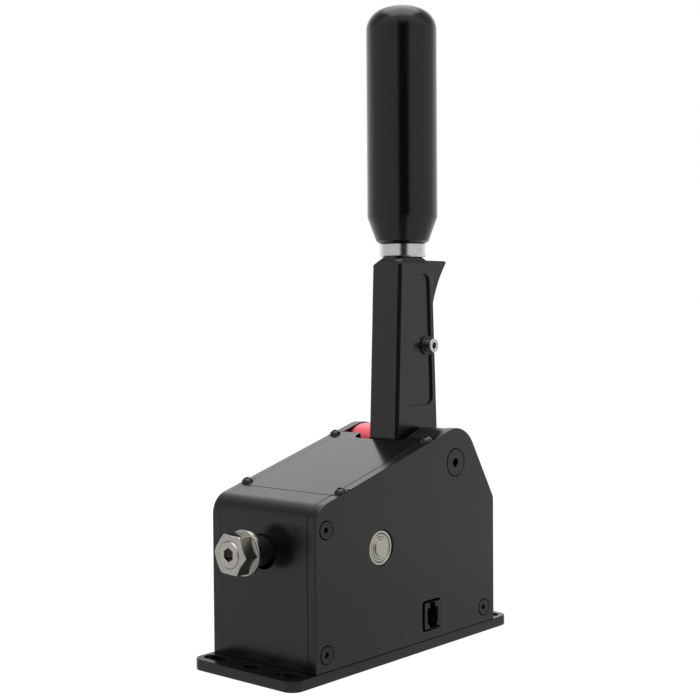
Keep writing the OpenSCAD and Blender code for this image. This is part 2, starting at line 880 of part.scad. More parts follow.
// Cap screw through the stem, with its head on the right-hand side
module trigger_screw() {
    side = stem_w / 2;
    color("#d5d6d8") at_stem() translate([trigger_x, 0, trigger_z]) difference() {
        union() {
            y_rod(m4[0] / 2, -side, side);
            y_rod(trigger_head_d / 2, -side - trigger_head_h, -side);
        }
        translate([0, -side - trigger_head_h / 2, 0]) rotate([90, 0, 0])
            cylinder(d = 3 / cos(30), h = trigger_head_h, $fn = 6);
    }
}

// Front edge of the blade, clear of the slot's wall when the fin is pressed
function blade_front(z) = slot_top_x + (z - trigger_z) * sin(trigger_swing) + play;

module trigger_outline() {
    low_front = trigger_x - trigger_lobe_r + 1;
    translate([trigger_x, trigger_z]) circle(trigger_lobe_r);
    difference() {
        polygon([
            [low_front, trigger_z], [trigger_rear_x, trigger_z - 4], [trigger_rear_x, trigger_hollow_z],
            [fin_x, trigger_top_z - 1.5], [fin_x - 1, trigger_top_z],
            [blade_front(trigger_top_z), trigger_top_z], [blade_front(slot_step_z), slot_step_z]
        ]);
        translate([trigger_rear_x + fin_r, trigger_hollow_z]) circle(fin_r);
    }
}

// Blade with the finger fin above its screw, and a forked arm that holds the lock rod
module lock_trigger() {
    arm_half_t = 4;
    arm_front = -lock_rod_r - 2;
    neck_gap = lock_rod_r - 0.7 + play;
    color(black) at_stem() difference() {
        union() {
            along_y(-trigger_t / 2, trigger_t / 2) trigger_outline();
            translate([arm_front, -arm_half_t, lock_arm_z])
                cube([trigger_x - arm_front, 2 * arm_half_t, lock_arm_t]);
        }
        translate([trigger_x, 0, trigger_z]) y_rod(m4[0] / 2 + fit, -trigger_t, trigger_t);
        translate([arm_front - 1, -neck_gap, lock_arm_z - 1])
            cube([neck_gap - arm_front + 1.8, 2 * neck_gap, lock_arm_t + 2]);
    }
}

module lock_rod() {
    neck_r = lock_rod_r - 0.7;
    neck_z0 = lock_arm_z - lock_arm_play;
    neck_z1 = lock_arm_z + lock_arm_t + lock_arm_play;
    cap_t = 1.5;
    tip_z = lock_ring_r + play;
    tip_h = 3;
    color(steel) at_stem() {
        translate([0, 0, tip_z]) cylinder(r = lock_tip_r, h = tip_h);
        translate([0, 0, tip_z + tip_h]) cylinder(r = lock_rod_r, h = neck_z0 - tip_z - tip_h);
        translate([0, 0, neck_z0]) cylinder(r = neck_r, h = neck_z1 - neck_z0);
        translate([0, 0, neck_z1]) cylinder(r = lock_rod_r, h = cap_t);
    }
}

module trigger_spring() {
    mean_r = (trigger_spring_d - trigger_spring_wire) / 2;
    end_x = blade_front(trigger_spring_z - trigger_spring_d / 2) - play;
    color(steel) at_stem() translate([0, 0, trigger_spring_z])
        coil(trigger_spring_x + seat, end_x, mean_r, trigger_spring_wire, trigger_spring_turns);
}

// Trunnion and push rod

module trunnion() {
    edge = 2;
    color(steel) difference() {
        union() {
            at_rod() along_y(-block_half_w, block_half_w) rounded(
                block_half * [[-1, -1], [1, -1], [1, 1], [-1, 1]], edge * [1, 1, 1, 1]
            );
            translate([trunnion[0], 0, trunnion[1]]) {
                y_rod(shoulder_r, -side_in - race_in, side_in + race_in);
                y_rod(journal_r, -half_w, half_w);
            }
        }
        at_rod() x_rod(rod_r + fit, -2 * block_half, 2 * block_half);
    }
}

// Outer rings, each with a shield a little behind its face and a groove round the shield
module trunnion_bearing_outer_rings() {
    inner = side_in + race_in;
    outer = inner + race_w;
    shield_r = inner_race_r + play / 3;
    shield_t = 1;
    shield_in = 0.2;
    groove_w = 0.4;
    groove_in = 0.8;
    color(steel) translate([trunnion[0], 0, trunnion[1]]) both_sides() difference() {
        y_rod(ball_race_r, inner, outer);
        y_rod(ball_race_r - race_t, side_in, outer - shield_in - shield_t);
        y_rod(ball_race_r - race_t, outer - shield_in, half_w + 1);
        difference() {
            y_rod(ball_race_r - race_t, outer - groove_in, half_w + 1);
            y_rod(ball_race_r - race_t - groove_w, side_in, half_w + 2);
        }
        y_rod(shield_r, side_in, half_w + 1);
    }
}

module trunnion_bearing_inner_rings() {
    color(steel) translate([trunnion[0], 0, trunnion[1]]) both_sides() difference() {
        y_rod(inner_race_r, side_in + race_in, side_in + race_in + race_w);
        y_rod(journal_r + fit / 2, side_in, half_w + 1);
    }
}

// Tube between the trunnion and the preload nut
module preload_sleeve() {
    color(black) at_rod() difference() {
        x_rod(sleeve_r, -nut_x, -block_half);
        x_rod(rod_r + fit, -nut_x - 1, -block_half + 1);
    }
}

// Threaded rod with a hex socket in front; behind its collar it necks down to a slotted eye
module push_rod() {
    rod_end = 0.5;
    key = 5.5;
    key_depth = 5;
    front = -nut_x - nut_h;
    bore_r = pin_d / 2 + play;
    color(steel) at_rod() difference() {
        union() {
            translate([front, 0, 0]) rotate([0, -90, 0])
                cylinder(r1 = rod_r, r2 = rod_r - rod_end, h = rod_end);
            x_rod(rod_r, front, rod_collar_end);
            x_rod(rod_r + 1.5, rod_collar_end - rod_collar_t, rod_collar_end);
            x_rod(rod_eye_t / 2, rod_collar_end - rod_collar_t, pin_reach);
            translate([pin_reach, 0, 0]) y_rod(rod_eye_r, -rod_eye_t / 2, rod_eye_t / 2);
        }
        translate([pin_reach, 0, 0]) {
            for (z = [-eye_slot / 2, eye_slot / 2])
                translate([0, 0, z]) y_rod(bore_r, -rod_eye_t, rod_eye_t);
            translate([-bore_r, -rod_eye_t, -eye_slot / 2]) cube([2 * bore_r, 2 * rod_eye_t, eye_slot]);
        }
        translate([front - rod_end - 1, 0, 0]) rotate([0, 90, 0])
            cylinder(d = key / cos(30), h = key_depth + 1, $fn = 6);
    }
}

module spring_seat() {
    seat_r = spring_mean_d / 2 + 2.7;
    color(steel) at_rod() difference() {
        x_rod(seat_r, seat_x, seat_x + seat_t);
        x_rod(rod_r + fit, seat_x - 1, seat_x + seat_t + 1);
    }
}

module main_spring() {
    color("#8f9194") at_rod()
        coil(block_half + seat, seat_x - seat, spring_mean_d / 2, spring_wire_d, spring_turns);
}

// Hex nut with a round flange against the sleeve, its front corners turned off
module preload_nut() {
    flange_t = 2;
    corner_r = nut_af / cos(30) / 2;
    face_r = nut_af / 2 * 0.98;
    turn = 26;
    color("#d0d1d3") at_rod() translate([-nut_x, 0, 0]) difference() {
        union() {
            x_rod(nut_flange_d / 2, -flange_t, 0);
            intersection() {
                rotate([0, -90, 0]) rotate([0, 0, turn]) cylinder(r = corner_r, h = nut_h, $fn = 6);
                rotate([0, -90, 0]) cylinder(r1 = corner_r + nut_h * 1.7, r2 = face_r, h = nut_h + 0.02);
            }
        }
        x_rod(rod_r + fit, -nut_h - 1, 1);
    }
}

// Electronics

module at_board_holes() {
    inset = [board_hole_in, -board_hole_in];
    for (x = board_x + inset, y = board_y + inset) translate([socket_x + x, y, 0]) children();
}

module circuit_board() {
    color("#1f5a3a") difference() {
        translate([socket_x + board_x[0], board_y[0], board_z])
            cube([board_x[1] - board_x[0], board_y[1] - board_y[0], board_t]);
        at_board_holes() cylinder(d = m3[0] + 2 * seat, h = 2 * board_z);
    }
}

module board_standoffs() {
    color(steel) difference() {
        at_board_holes() translate([0, 0, base_t]) cylinder(r = standoff_r, h = board_z - base_t);
        at_board_holes() cylinder(d = m3[0] + 2 * fit, h = 2 * board_z);
    }
}

module board_screws() {
    color(steel) at_board_holes() translate([0, 0, board_z + board_t])
        button_screw(m3, board_z + board_t - base_t + 1.8);
}

module controller_chip() {
    chip = 7;
    chip_in = 12;
    color(black) translate([socket_x + board_x[0] + chip_in, -chip / 2, board_z + board_t])
        cube([chip, chip, 1.2]);
}

// Mouth of the cable socket: chamfered floor, straight walls, and the slot for the plug's latch on top
module jack_outline() {
    x = socket_w / 2 - jack_wall;
    latch_x = jack_latch_w / 2;
    floor_z = jack_floor;
    roof_z = socket_h - jack_roof - jack_latch_h;
    latch_z = roof_z + jack_latch_h;
    polygon([
        [jack_chamfer_w - x, floor_z], [x - jack_chamfer_w, floor_z],
        [x, floor_z + jack_chamfer_h], [x, roof_z],
        [latch_x, roof_z], [latch_x, latch_z], [-latch_x, latch_z], [-latch_x, roof_z],
        [-x, roof_z], [-x, floor_z + jack_chamfer_h]
    ]);
}

// Modular cable socket on the board, a little proud of the right plate's face
module cable_socket() {
    color("#161618") difference() {
        translate([socket_x - socket_w / 2, -half_w - socket_proud, socket_z])
            cube([socket_w, socket_depth + socket_proud, socket_h]);
        translate([socket_x, -half_w, socket_z]) along_y(-1, jack_depth) jack_outline();
    }
}

// Sensor board on the left plate, beside the end of the clevis pin
pin_mid_x = pivot[0] - arm_len * sin(lever_swing) / 2;
pin_z = pivot_z - arm_len;

// Places of the two screws in the sensor board, on the housing's middle plane
module at_sensor_screws() {
    for (side = [-1, 1]) translate([pin_mid_x + side * (sensor_w / 2 - 3), 0, pin_z]) children();
}

module sensor_board() {
    color("#1f5a3a") difference() {
        translate([pin_mid_x - sensor_w / 2, side_in - board_t, pin_z - sensor_h / 2])
            cube([sensor_w, board_t, sensor_h]);
        at_sensor_screws() y_rod(sensor_screw_r + seat, 0, half_w);
    }
}

module sensor_board_screws() {
    head_h = 1.2;
    color(steel) at_sensor_screws() {
        y_rod(sensor_screw_r, side_in - board_t, side_in + sensor_screw_in);
        y_rod(2 * sensor_screw_r, side_in - board_t - head_h, side_in - board_t);
    }
}

module hall_sensor() {
    color(black) translate([pin_mid_x - 2, side_in - board_t - hall_t, pin_z - 1.5]) cube([4, hall_t, 3]);
}

module sensor_magnet() {
    color("#c8c9cb") at_pivot() translate([0, 0, -arm_len]) y_rod(magnet_r, pin_left, pin_left + magnet_t);
}

base_plate();
right_side_plate();
left_side_plate();
front_block();
rear_block();
top_cover();
cover_screws();
side_screws();
base_screws();
pivot_screws();
pivot_shaft();
left_pivot_spacer();
right_pivot_spacer();
lock_ring();
lever_bearing_inner_rings();
lever_bearing_outer_rings();
trunnion_bearing_outer_rings();
trunnion_bearing_inner_rings();
cable_socket();
circuit_board();
board_standoffs();
board_screws();
controller_chip();
sensor_board();
sensor_board_screws();
hall_sensor();
lever_stem();
handle_collar();
handle_stud();
handle_grip();
clevis_pin();
clevis_pin_clips();
sensor_magnet();
trigger_screw();
trigger_spring();
lock_trigger();
lock_rod();
trunnion();
preload_sleeve();
push_rod();
spring_seat();
main_spring();
preload_nut();
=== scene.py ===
import json
import math

import bpy
import numpy as np
from mathutils import Matrix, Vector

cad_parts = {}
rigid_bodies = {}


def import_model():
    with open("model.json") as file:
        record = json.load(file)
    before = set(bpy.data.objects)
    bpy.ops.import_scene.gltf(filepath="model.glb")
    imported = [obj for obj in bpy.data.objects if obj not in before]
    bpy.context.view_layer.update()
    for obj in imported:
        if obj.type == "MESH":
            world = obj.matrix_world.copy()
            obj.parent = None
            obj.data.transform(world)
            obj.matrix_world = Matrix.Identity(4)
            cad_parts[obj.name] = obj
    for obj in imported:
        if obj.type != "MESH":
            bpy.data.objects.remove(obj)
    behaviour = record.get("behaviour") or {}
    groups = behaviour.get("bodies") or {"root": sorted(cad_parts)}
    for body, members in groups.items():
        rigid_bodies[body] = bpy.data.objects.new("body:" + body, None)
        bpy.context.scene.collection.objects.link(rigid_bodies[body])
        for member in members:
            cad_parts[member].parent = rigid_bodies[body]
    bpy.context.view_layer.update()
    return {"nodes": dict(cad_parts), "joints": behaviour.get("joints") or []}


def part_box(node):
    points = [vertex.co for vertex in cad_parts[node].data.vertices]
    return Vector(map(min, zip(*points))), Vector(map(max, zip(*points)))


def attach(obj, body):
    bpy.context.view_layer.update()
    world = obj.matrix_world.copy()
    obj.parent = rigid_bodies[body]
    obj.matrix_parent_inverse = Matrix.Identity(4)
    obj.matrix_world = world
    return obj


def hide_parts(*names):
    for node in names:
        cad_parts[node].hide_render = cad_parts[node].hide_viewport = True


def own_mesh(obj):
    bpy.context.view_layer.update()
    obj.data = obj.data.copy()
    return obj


# Frame
# The part's solids and joints as the CAD model has them, in metres and in its frame.
# Nothing of Blender's start-up scene is kept.

for leftover in list(bpy.data.objects):
    bpy.data.objects.remove(leftover)
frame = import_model()
mm = 0.001

# Base plate
# A flat foot under the housing, milled from 5 mm aluminium plate and anodised black.
# Its two flanges have slots, so that it can be bolted to a rig or clamped to a table.


def linear(colour):
    """sRGB hex to linear RGBA: a channel c becomes c / 12.92 below 0.04045,
    else ((c + 0.055) / 1.055) to the power of 2.4."""
    channels = [int(colour[i : i + 2], 16) / 255 for i in (1, 3, 5)]
    return [c / 12.92 if c < 0.04045 else ((c + 0.055) / 1.055) ** 2.4 for c in channels] + [1.0]


def plug(tree, node, inputs):
    """Fills a node's inputs. Each is a value, or another node's output that is linked to it.
    An input has its name, or its number where several have one name."""
    for name, value in inputs.items():
        if isinstance(value, bpy.types.NodeSocket):
            tree.links.new(value, node.inputs[name])
        else:
            node.inputs[name].default_value = value


def add(tree, kind, inputs=None, **settings):
    """Adds one node with its settings and its inputs."""
    made = tree.nodes.new(kind)
    for name, value in settings.items():
        setattr(made, name, value)
    plug(tree, made, inputs or {})
    return made


def start_material(name):
    """An empty node material with its shader, and the object's own coordinates in metres."""
    material = bpy.data.materials.new(name)
    material.use_nodes = True
    tree = material.node_tree
    tree.nodes.clear()
    shader = add(tree, "ShaderNodeBsdfPrincipled")
    add(tree, "ShaderNodeOutputMaterial", {"Surface": shader.outputs[0]})
    place = add(tree, "ShaderNodeTexCoord").outputs["Object"]
    return material, tree, shader, place


def shader_of(material):
    """The shader of a material that was made before."""
    return next(node for node in material.node_tree.nodes if node.type == "BSDF_PRINCIPLED")


def anodised(name, dark, pale, roughness, shine=0.5):
    """Anodised aluminium: a thin dyed layer that hides the metal, so it shines like a smooth dark glaze.
    A cloudy change of tone comes from the dye, and a fine grain from the blasting before it.
    Blasted grain is about 0.1 mm; it is drawn at 0.6 mm, as coarse as it needs to show."""
    cloud_mm, grain_mm, grain_depth_mm, spread = 18, 0.6, 0.05, 0.05
    material, tree, shader, place = start_material(name)
    cloud = add(tree, "ShaderNodeTexNoise", {"Vector": place, "Scale": 1 / (cloud_mm * mm), "Detail": 3.0})
    grain = add(tree, "ShaderNodeTexNoise", {"Vector": place, "Scale": 1 / (grain_mm * mm), "Detail": 2.0})
    tones = {"Factor": cloud.outputs["Fac"], 6: linear(dark), 7: linear(pale)}
    limits = {"Value": grain.outputs["Fac"], "To Min": roughness - spread, "To Max": roughness + spread}
    relief = {"Height": grain.outputs["Fac"], "Strength": 0.03, "Distance": grain_depth_mm * mm}
    finish = {
        "Base Color": add(tree, "ShaderNodeMix", tones, data_type="RGBA").outputs[2],
        "Roughness": add(tree, "ShaderNodeMapRange", limits).outputs["Result"],
        "Normal": add(tree, "ShaderNodeBump", relief).outputs["Normal"],
        "IOR": 1.5,
        "Specular IOR Level": shine,
    }
    plug(tree, shader, finish)
    return material


def painted_seam_shade(material, level, back):
    """Painted shade: above a height and in front of a line the shader's shine falls to a fifth,
    so that the face there reads nearly black, as shade would make it."""
    shaded_shine_share = 0.2
    tree, shader = material.node_tree, shader_of(material)
    place = add(tree, "ShaderNodeTexCoord").outputs["Object"]
    parts = add(tree, "ShaderNodeSeparateXYZ", {"Vector": place}).outputs
    below = add(tree, "ShaderNodeMath", {0: parts["Z"], 1: level}, operation="LESS_THAN").outputs[0]
    behind = add(tree, "ShaderNodeMath", {0: parts["X"], 1: back}, operation="GREATER_THAN").outputs[0]
    smooth = add(tree, "ShaderNodeMath", {0: below, 1: behind}, operation="MAXIMUM").outputs[0]
    shine = shader.inputs["Specular IOR Level"].default_value
    limits = {"Value": smooth, "To Min": shaded_shine_share * shine, "To Max": shine}
    kept = add(tree, "ShaderNodeMapRange", limits).outputs["Result"]
    plug(tree, shader, {"Specular IOR Level": kept})


def dress(names, material, edge_mm=0.0):
    """Puts a material on CAD nodes.
    An edge width breaks their sharp corners, as a deburring tool does."""
    for name in names:
        node = frame["nodes"][name]
        node.material_slots[0].material = material
        if edge_mm:
            weld = node.modifiers.new("join_facets", "WELD")
            weld.merge_threshold = 0.02 * mm
            flat = node.modifiers.new("clear_flats", "DECIMATE")
            flat.decimate_type = "DISSOLVE"
            flat.angle_limit = math.radians(0.5)
            broken = node.modifiers.new("broken_edges", "BEVEL")
            broken.width = edge_mm * mm
            broken.segments = 2
            broken.limit_method = "ANGLE"
            broken.angle_limit = math.radians(40)
            broken.use_clamp_overlap = False
            shade = node.modifiers.new("even_shading", "WEIGHTED_NORMAL")
            shade.weight = 100


# Black anodised plate, blasted: a dark surface with a soft, blurred sheen.
# Under the housing and in front of it the top has painted shade, nearly black, and the seam a painted
# shadow line.
black_anodised_base = anodised("black_anodised_base", "#050506", "#08080a", roughness=0.24, shine=0.57)
base_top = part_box("base_plate")[1].z
housing_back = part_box("right_side_plate")[1].x
# Painted shadow line: the top quarter millimetre of the base's edges, under the plates, loses its shine
# like the shaded top.
seam_shadow_band = 0.25 * mm
painted_seam_shade(black_anodised_base, base_top - seam_shadow_band, housing_back)
dress(["base_plate"], black_anodised_base, edge_mm=0.35)

# Base screws
# Countersunk steel screws that come up through the base plate into the two blocks.
# They are blackened in a hot salt bath, which leaves a dark skin with a dull shine.


def blackened_steel(name, dark, pale, roughness):
    """Black oxide on steel: a thin dark skin over metal, with paler worn spots under a millimetre wide."""
    wear_mm, spread = 0.8, 0.08
    material, tree, shader, place = start_material(name)
    wear = add(tree, "ShaderNodeTexNoise", {"Vector": place, "Scale": 1 / (wear_mm * mm), "Detail": 4.0})
    tones = {"Factor": wear.outputs["Fac"], 6: linear(dark), 7: linear(pale)}
    limits = {"Value": wear.outputs["Fac"], "To Min": roughness - spread, "To Max": roughness + spread}
    finish = {
        "Base Color": add(tree, "ShaderNodeMix", tones, data_type="RGBA").outputs[2],
        "Roughness": add(tree, "ShaderNodeMapRange", limits).outputs["Result"],
    }
    plug(tree, shader, finish)
    return material


# Black oxide on alloy steel: a dark skin with small glints on the heads' edges.
blackened_screw = blackened_steel("blackened_screw_steel", "#09090a", "#111112", roughness=0.2)
dress(["base_screws"], blackened_screw)

# Front and rear blocks
# Two aluminium bars that close the housing's ends and carry the screws of every other plate.
# They are milled, blasted and anodised like the plates; the front one has the rod's round hole.

# Black anodised aluminium, blasted: an even dark grey where it mirrors a soft light.
black_anodised_plate = anodised("black_anodised_plate", "#08080a", "#0c0c0d", roughness=0.24, shine=0.57)
dress(["front_block", "rear_block"], black_anodised_plate, edge_mm=0.25)

# Side plates
# The two walls of the housing, cut from 5 mm aluminium plate with the bearing seats milled into them.
# Each is held by countersunk screws, and the right one has the window for the cable socket.

dress(["right_side_plate"], black_anodised_plate, edge_mm=0.5)
dress(["left_side_plate"], black_anodised_plate, edge_mm=0.12)
dress(["side_screws"], blackened_screw, edge_mm=0.35)

# Circuit board
# A glass-fibre board under green solder mask, on brass standoffs screwed to the base plate.
# Where copper lies under the mask, it is a little paler.


def solder_mask(name, dark, pale):
    """Green lacquer over copper tracks: oblong cells, some of them paler where copper lies below.
    A cell is half as long as the pattern's unit."""
    cell_mm = 8
    material, tree, shader, place = start_material(name)
    cells = {
        "Vector": place, "Color1": linear(dark), "Color2": linear(pale), "Mortar": linear(dark),
        "Scale": 0.5 / (cell_mm * mm), "Mortar Size": 0.03,
    }
    track = add(tree, "ShaderNodeTexBrick", cells)
    plug(tree, shader, {"Base Color": track.outputs["Color"], "Roughness": 0.3})
    return material


# Solder mask: a glossy dark green with paler fields.
green_solder_mask = solder_mask("green_solder_mask", "#174a2f", "#1f5f3d")
dress(["circuit_board", "sensor_board"], green_solder_mask)


def turned_metal(name, dark, pale, roughness, axis, line_mm=0.5):
    """Bare turned metal: fine rings left by the tool along the axis of turning,
    which smear the reflections a little. The pattern is noise that is stretched round the axis:
    one coordinate at the ring pitch, the others nearly still.
    Real rings are finer; they are drawn half a millimetre wide, as coarse as they need to show."""
    still_mm, ring_depth_mm, smoother, rougher = 60, 0.004, 0.7, 1.3
    material, tree, shader, place = start_material(name)
    pitch = [1 / (still_mm * mm)] * 3
    pitch[axis] = 1 / (line_mm * mm)
    scaled = add(tree, "ShaderNodeMapping", {"Vector": place, "Scale": pitch})
    rings = add(tree, "ShaderNodeTexNoise", {"Vector": scaled.outputs[0], "Scale": 1.0, "Detail": 2.0})
    tones = {"Factor": rings.outputs["Fac"], 6: linear(dark), 7: linear(pale)}
    limits = {"Value": rings.outputs["Fac"], "To Min": roughness * smoother, "To Max": roughness * rougher}
    relief = {"Height": rings.outputs["Fac"], "Strength": 0.3, "Distance": ring_depth_mm * mm}
    finish = {
        "Base Color": add(tree, "ShaderNodeMix", tones, data_type="RGBA").outputs[2],
        "Roughness": add(tree, "ShaderNodeMapRange", limits).outputs["Result"],
        "Normal": add(tree, "ShaderNodeBump", relief).outputs["Normal"],
        "Metallic": 1.0,
    }
    plug(tree, shader, finish)
    return material


X, Y, Z = 0, 1, 2
# Turned brass: a warm yellow metal with fine rings.
turned_brass = turned_metal("turned_brass", "#b08a3e", "#c9a456", roughness=0.3, axis=Z)
dress(["board_standoffs"], turned_brass)
# Clear zinc plate: a pale, slightly blue grey metal.
zinc_plated_screw = turned_metal("zinc_plated_screw", "#a3a5a8", "#bfc1c4", roughness=0.32, axis=Z)
dress(["board_screws", "sensor_board_screws"], zinc_plated_screw)

# Controller chip and hall sensor
# Small packages of black epoxy, moulded round the silicon and soldered to the two boards.
# The mould was spark eroded, which leaves an even matt grain.


def moulded_plastic(name, dark, pale, roughness):
    """Moulded black plastic: an even spark-eroded grain in the height, and hardly any change of tone.
    The real grain is finer; it is drawn at 0.3 mm, as coarse as it needs to show."""
    grain_mm, grain_depth_mm = 0.3, 0.05
    material, tree, shader, place = start_material(name)
    grain = add(tree, "ShaderNodeTexNoise", {"Vector": place, "Scale": 1 / (grain_mm * mm), "Detail": 2.0})
    tones = {"Factor": grain.outputs["Fac"], 6: linear(dark), 7: linear(pale)}
    relief = {"Height": grain.outputs["Fac"], "Strength": 0.2, "Distance": grain_depth_mm * mm}
    finish = {
        "Base Color": add(tree, "ShaderNodeMix", tones, data_type="RGBA").outputs[2],
        "Normal": add(tree, "ShaderNodeBump", relief).outputs["Normal"],
        "Roughness": roughness,
    }
    plug(tree, shader, finish)
    return material


# Moulded epoxy: an even, matt near-black.
black_epoxy = moulded_plastic("moulded_black_epoxy", "#131314", "#1c1c1e", roughness=0.55)
dress(["controller_chip", "hall_sensor"], black_epoxy)

# Cable socket
# A modular jack moulded from black PBT, soldered to the board and a little proud of the right plate.
# Four gold-plated spring wires rise from its floor to meet the plug's contacts.

# Moulded PBT: black with a faint satin sheen.
black_pbt = moulded_plastic("moulded_black_pbt", "#0c0c0d", "#141415", roughness=0.42)
dress(["cable_socket"], black_pbt, edge_mm=0.2)


def tube(name, path, guide, radius, sides):
    """A round wire: at each point of the path a circle of the wire's radius stands square to the path.
    Its two axes come from the path's direction and a guide vector, and a flat face closes each end."""
    path = np.asarray(path, float)
    way = np.gradient(path, axis=0)
    way /= np.linalg.norm(way, axis=1, keepdims=True)
    side = np.cross(way, guide)
    side /= np.linalg.norm(side, axis=1, keepdims=True)
    up = np.cross(side, way)
    turn = np.arange(sides)[None, :, None] * 2 * np.pi / sides
    rings = path[:, None] + radius * (np.cos(turn) * side[:, None] + np.sin(turn) * up[:, None])
    index = np.arange(len(path) * sides).reshape(len(path), sides)
    beside = np.roll(index, -1, axis=1)
    walls = np.stack([index[:-1], index[1:], beside[1:], beside[:-1]], -1).reshape(-1, 4)
    faces = walls.tolist() + [index[0].tolist(), index[-1][::-1].tolist()]
    mesh = bpy.data.meshes.new(name)
    mesh.from_pydata(rings.reshape(-1, 3).tolist(), [], faces)
    mesh.polygons.foreach_set("use_smooth", [True] * len(walls) + [False, False])
    piece = bpy.data.objects.new(name, mesh)
    bpy.context.scene.collection.objects.link(piece)
    return piece


# Gold plate over bronze wire: warm bright lines in the dark socket.
gold_plated = turned_metal("gold_plated_bronze", "#c08f3c", "#d9ae5c", roughness=0.25, axis=Y)
socket_low, socket_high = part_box("cable_socket")
socket_middle = (socket_low.x + socket_high.x) / 2
contact_count, contact_pitch, contact_radius = 4, 1.02 * mm, 0.22 * mm
contact_start, contact_length = 1.2 * mm, 8.6 * mm
contact_floor, contact_rise = 1.0 * mm, 2.5 * mm
contact_run = np.linspace(0, 1, 9)
for number in range(contact_count):
    contact_x = socket_middle + (number - (contact_count - 1) / 2) * contact_pitch
    contact_path = np.stack(
        [
            np.full_like(contact_run, contact_x),
            socket_low.y + contact_start + contact_length * contact_run,
            socket_low.z + contact_floor + contact_rise * contact_run**1.5,
        ],
        -1,
    )
    contact = tube(f"socket_contact_{number + 1}", contact_path, [1.0, 0.0, 0.0], contact_radius, sides=8)
    contact.data.materials.append(gold_plated)
    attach(contact, "housing")

# Trunnion and its bearings
# A steel block that the push rod slides through; it rocks on two journals.
# Each journal runs in a small ball bearing pressed into a side plate, with a bright shield.

# Ground bearing steel: a clean warm grey metal with soft reflections.
bearing_steel = turned_metal("ground_bearing_steel", "#b9b7ac", "#cfcdc2", roughness=0.24, axis=Y)
trunnion_pieces = ["trunnion", "trunnion_bearing_outer_rings", "trunnion_bearing_inner_rings"]
dress(trunnion_pieces, bearing_steel, edge_mm=0.25)

# Push rod and preload sleeve
# A ground steel rod with an eye for the lever's pin behind and a hex socket in front.
# The sleeve is a black tube that carries the nut's force to the trunnion.

journal_low, journal_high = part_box("trunnion_bearing_inner_rings")
trunnion_centre = np.array((journal_low + journal_high) / 2)
rod_slide = next(joint for joint in frame["joints"] if joint["name"] == "rod_slide")
rod_axis = -np.array(rod_slide["axis"])

# Bare turned steel: a warm pale grey, with reflections smeared along the rings.
turned_steel = turned_metal("turned_steel", "#bbb8b0", "#d0cdc5", roughness=0.22, axis=X)
dress(["spring_seat"], turned_steel, edge_mm=0.2)


def shaded_socket(metal, name, face, inward, radius, socket_shade_colour):
    """A copy of a metal with painted shade in a key's socket: what lies a lip's width behind the face
    and nearer to the axis than the radius takes the shade's colour.
    The axis goes inward from the middle of the face."""
    lip = 0.15 * mm
    material = metal.copy()
    material.name = name
    tree, shader = material.node_tree, shader_of(material)
    place = add(tree, "ShaderNodeTexCoord").outputs["Object"]
    offset = add(tree, "ShaderNodeVectorMath", {0: place, 1: face}, operation="SUBTRACT").outputs[0]
    depth = add(tree, "ShaderNodeVectorMath", {0: offset, 1: inward}, operation="DOT_PRODUCT")
    across = add(tree, "ShaderNodeVectorMath", {0: offset, 1: inward}, operation="CROSS_PRODUCT")
    distance = add(tree, "ShaderNodeVectorMath", {0: across.outputs[0]}, operation="LENGTH")
    behind = {0: depth.outputs["Value"], 1: lip}
    near = {0: distance.outputs["Value"], 1: radius}
    inside = {
        0: add(tree, "ShaderNodeMath", behind, operation="GREATER_THAN").outputs[0],
        1: add(tree, "ShaderNodeMath", near, operation="LESS_THAN").outputs[0],
    }
    tones = {
        "Factor": add(tree, "ShaderNodeMath", inside, operation="MULTIPLY").outputs[0],
        6: shader.inputs["Base Color"].links[0].from_socket,
        7: linear(socket_shade_colour),
    }
    plug(tree, shader, {"Base Color": add(tree, "ShaderNodeMix", tones, data_type="RGBA").outputs[2]})
    return material


# The same steel with painted shade in the rod's hex socket, which makes it darker and browner there.
rod_front = -66.1 * mm
rod_key_radius = 3.3 * mm
rod_face = trunnion_centre + rod_front * rod_axis
rod_with_shaded_socket = shaded_socket(
    turned_steel, "turned_steel_shaded_socket", rod_face, rod_axis, rod_key_radius, socket_shade_colour="#a49e97"
)
dress(["push_rod"], rod_with_shaded_socket, edge_mm=0.2)
# Black anodised over coarse blasting: a greyer black with wide dull highlights.
black_blasted = anodised("black_anodised_blasted", "#101011", "#161617", roughness=0.34, shine=0.6)
dress(["preload_sleeve"], black_blasted, edge_mm=0.2)

# Main spring
# A coil of hardened spring wire between the trunnion and its seat on the rod.
# It is wound cold and tempered, which leaves a grey-blue skin.


def coil(name, start, end, mean_radius, wire_radius, turns):
    """A compression spring: the path's angle grows evenly while it moves along the axis,
    and each end runs straight for one and a half wire diameters.
    Its first and last points lie at the same angle above the axis."""
    steps_per_turn = 28
    start, end = np.array(start), np.array(end)
    length = np.linalg.norm(end - start)
    axis = (end - start) / length
    side = np.array([0.0, 1.0, 0.0])
    up = np.cross(axis, side)
    lead = 3 * wire_radius
    angle = np.linspace(0, 2 * np.pi * turns, steps_per_turn * turns + 1)
    angle = np.concatenate([[0.0], angle, [0.0]])
    along = np.concatenate([[0.0], np.linspace(lead, length - lead, len(angle) - 2), [length]])
    out = np.sin(angle)[:, None] * side + np.cos(angle)[:, None] * up
    return tube(name, start + along[:, None] * axis + mean_radius * out, out, wire_radius, sides=12)


# Tempered spring wire: a grey-blue metal, darker than the turned steel.
spring_wire = turned_metal("tempered_spring_wire", "#6f7276", "#8f9296", roughness=0.35, axis=X)
spring_start, spring_end = 10.1 * mm, 40.9 * mm
main_spring = coil(
    "main_spring_coil",
    trunnion_centre + spring_start * rod_axis,
    trunnion_centre + spring_end * rod_axis,
    mean_radius=9.3 * mm,
    wire_radius=1.6 * mm,
    turns=5,
)
main_spring.data.materials.append(spring_wire)
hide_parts("main_spring")
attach(main_spring, "trunnion")
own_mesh(main_spring)

# Preload nut
# A flanged hex nut turned from steel bar and plated with bright nickel.
# It runs on the rod's front end and sets how hard the spring pushes back.

